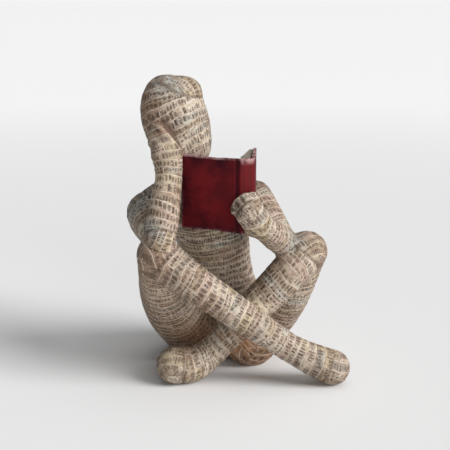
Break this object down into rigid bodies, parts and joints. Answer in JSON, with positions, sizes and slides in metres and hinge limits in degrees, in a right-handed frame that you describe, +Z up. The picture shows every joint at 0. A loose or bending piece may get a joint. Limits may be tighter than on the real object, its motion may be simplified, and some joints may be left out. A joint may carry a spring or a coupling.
{
  "type": "resin reading woman statue",
  "caption": "Seated faceless figure, legs crossed and knees up, cheek on one hand and an open book held in the other, with a skin of printed paper strips.",
  "frame": {"origin": "middle of the bounding box's bottom, on the surface the figure sits on", "axes": "+Z up, +X to the viewer's right as the picture shows it, +Y away from the viewer, towards the figure's back"},
  "size_m": [0.1128, 0.0892, 0.1507],
  "materials": {
    "papered_resin": "cast resin under matt printed paper strips, stained brown in the hollows",
    "book_cloth": "dark red paint, mottled and worn, satin",
    "book_pages": "cream painted page edges with fine lines"
  },
  "bodies": {
    "root": {"upper_body": "papered_resin", "lower_body": "papered_resin", "book": "book_cloth"}
  },
  "joints": []
}
